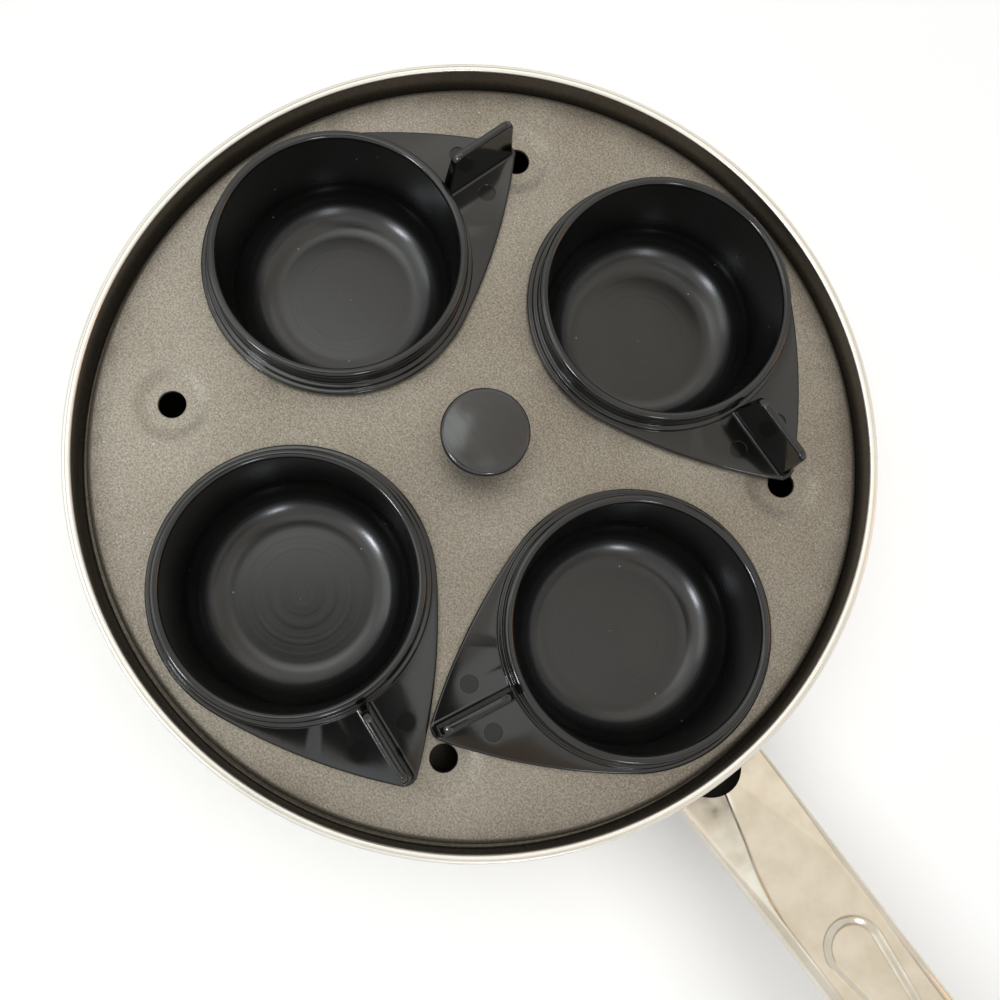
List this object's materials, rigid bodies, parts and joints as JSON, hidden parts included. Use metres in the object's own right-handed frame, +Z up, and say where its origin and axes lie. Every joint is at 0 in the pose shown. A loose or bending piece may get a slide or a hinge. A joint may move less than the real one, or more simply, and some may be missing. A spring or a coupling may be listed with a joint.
{
  "type": "egg poacher pan",
  "caption": "Round pan with a stamped steel handle, a lift-out tray with a knob and deep egg cups with finned tabs that hang in the tray's holes over boiling water.",
  "frame": {"origin": "centre of the pan's underside", "axes": "+Z up, +X out along the handle, +Y to the left seen from the pan towards the handle's end"},
  "size_m": [0.378, 0.2004, 0.0656],
  "materials": {
    "pan_aluminium": "polished outside, dark non-stick inside",
    "handle_steel": "polished",
    "bracket_steel": "satin",
    "rivet_aluminium": "satin",
    "tray_coating": "metallic non-stick coating, satin",
    "knob_plastic": "glossy black",
    "cup_plastic": "semi-gloss black",
    "insert_brass": "turned",
    "screw_steel": "zinc plated"
  },
  "bodies": {
    "pan": {"pan_shell": "pan_aluminium", "handle": "handle_steel", "handle_bracket": "bracket_steel", "bracket_rivets": "rivet_aluminium"},
    "lift_tray": {"tray": "tray_coating", "knob": "knob_plastic", "knob_insert": "insert_brass", "knob_screw": "screw_steel", "knob_washer": "screw_steel"},
    "loose_cup_1": {"cup_1": "cup_plastic"},
    "loose_cup_2": {"cup_2": "cup_plastic"},
    "loose_cup_3": {"cup_3": "cup_plastic"},
    "loose_cup_4": {"cup_4": "cup_plastic"}
  },
  "joints": [
    {"name": "tray_lift", "type": "slide", "parent": "pan", "child": "lift_tray", "axis": [0, 0, 1], "range_m": [0, 0.06]},
    {"name": "cup_1_lift", "type": "slide", "parent": "lift_tray", "child": "loose_cup_1", "axis": [0, 0, 1], "range_m": [0, 0.04]},
    {"name": "cup_2_lift", "type": "slide", "parent": "lift_tray", "child": "loose_cup_2", "axis": [0, 0, 1], "range_m": [0, 0.04]},
    {"name": "cup_3_lift", "type": "slide", "parent": "lift_tray", "child": "loose_cup_3", "axis": [0, 0, 1], "range_m": [0, 0.04]},
    {"name": "cup_4_lift", "type": "slide", "parent": "lift_tray", "child": "loose_cup_4", "axis": [0, 0, 1], "range_m": [0, 0.04]}
  ]
}
